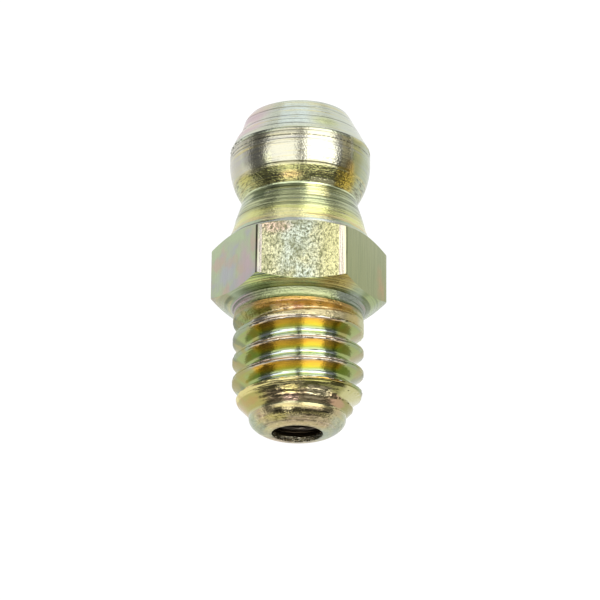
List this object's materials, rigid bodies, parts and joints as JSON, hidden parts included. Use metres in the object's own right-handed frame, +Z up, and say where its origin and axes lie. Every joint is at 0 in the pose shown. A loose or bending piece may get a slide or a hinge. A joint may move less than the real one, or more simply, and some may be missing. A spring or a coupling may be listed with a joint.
{
  "type": "grease nipple",
  "caption": "Straight grease nipple: a threaded steel fitting with a hexagon, a coupler head and a sprung check ball that lets grease in and keeps it there.",
  "frame": {"origin": "on the axis, in the plane of the rim under the hexagon that beds on the greased machine", "axes": "+Y along the axis, from the thread end towards the coupler head; +Z up, square to the hexagon flat that lies uppermost while the nipple rests on the opposite flat"},
  "size_m": [0.008, 0.0155, 0.007],
  "materials": {
    "plated_steel": "zinc plated with an iridescent yellow-green passivation over fine turning marks",
    "ball_steel": "ground and polished",
    "spring_wire": "drawn spring wire, bright"
  },
  "bodies": {
    "body": {"nipple_body": "plated_steel", "ball_spring": "spring_wire"},
    "ball": {"check_ball": "ball_steel"}
  },
  "joints": [
    {"name": "ball_lift", "type": "slide", "parent": "body", "child": "ball", "axis": [0, -1, 0], "range_m": [0, 0.0008], "stiffness_N_per_m": 830, "springref_m": -0.001, "deforming": ["ball_spring"]}
  ]
}
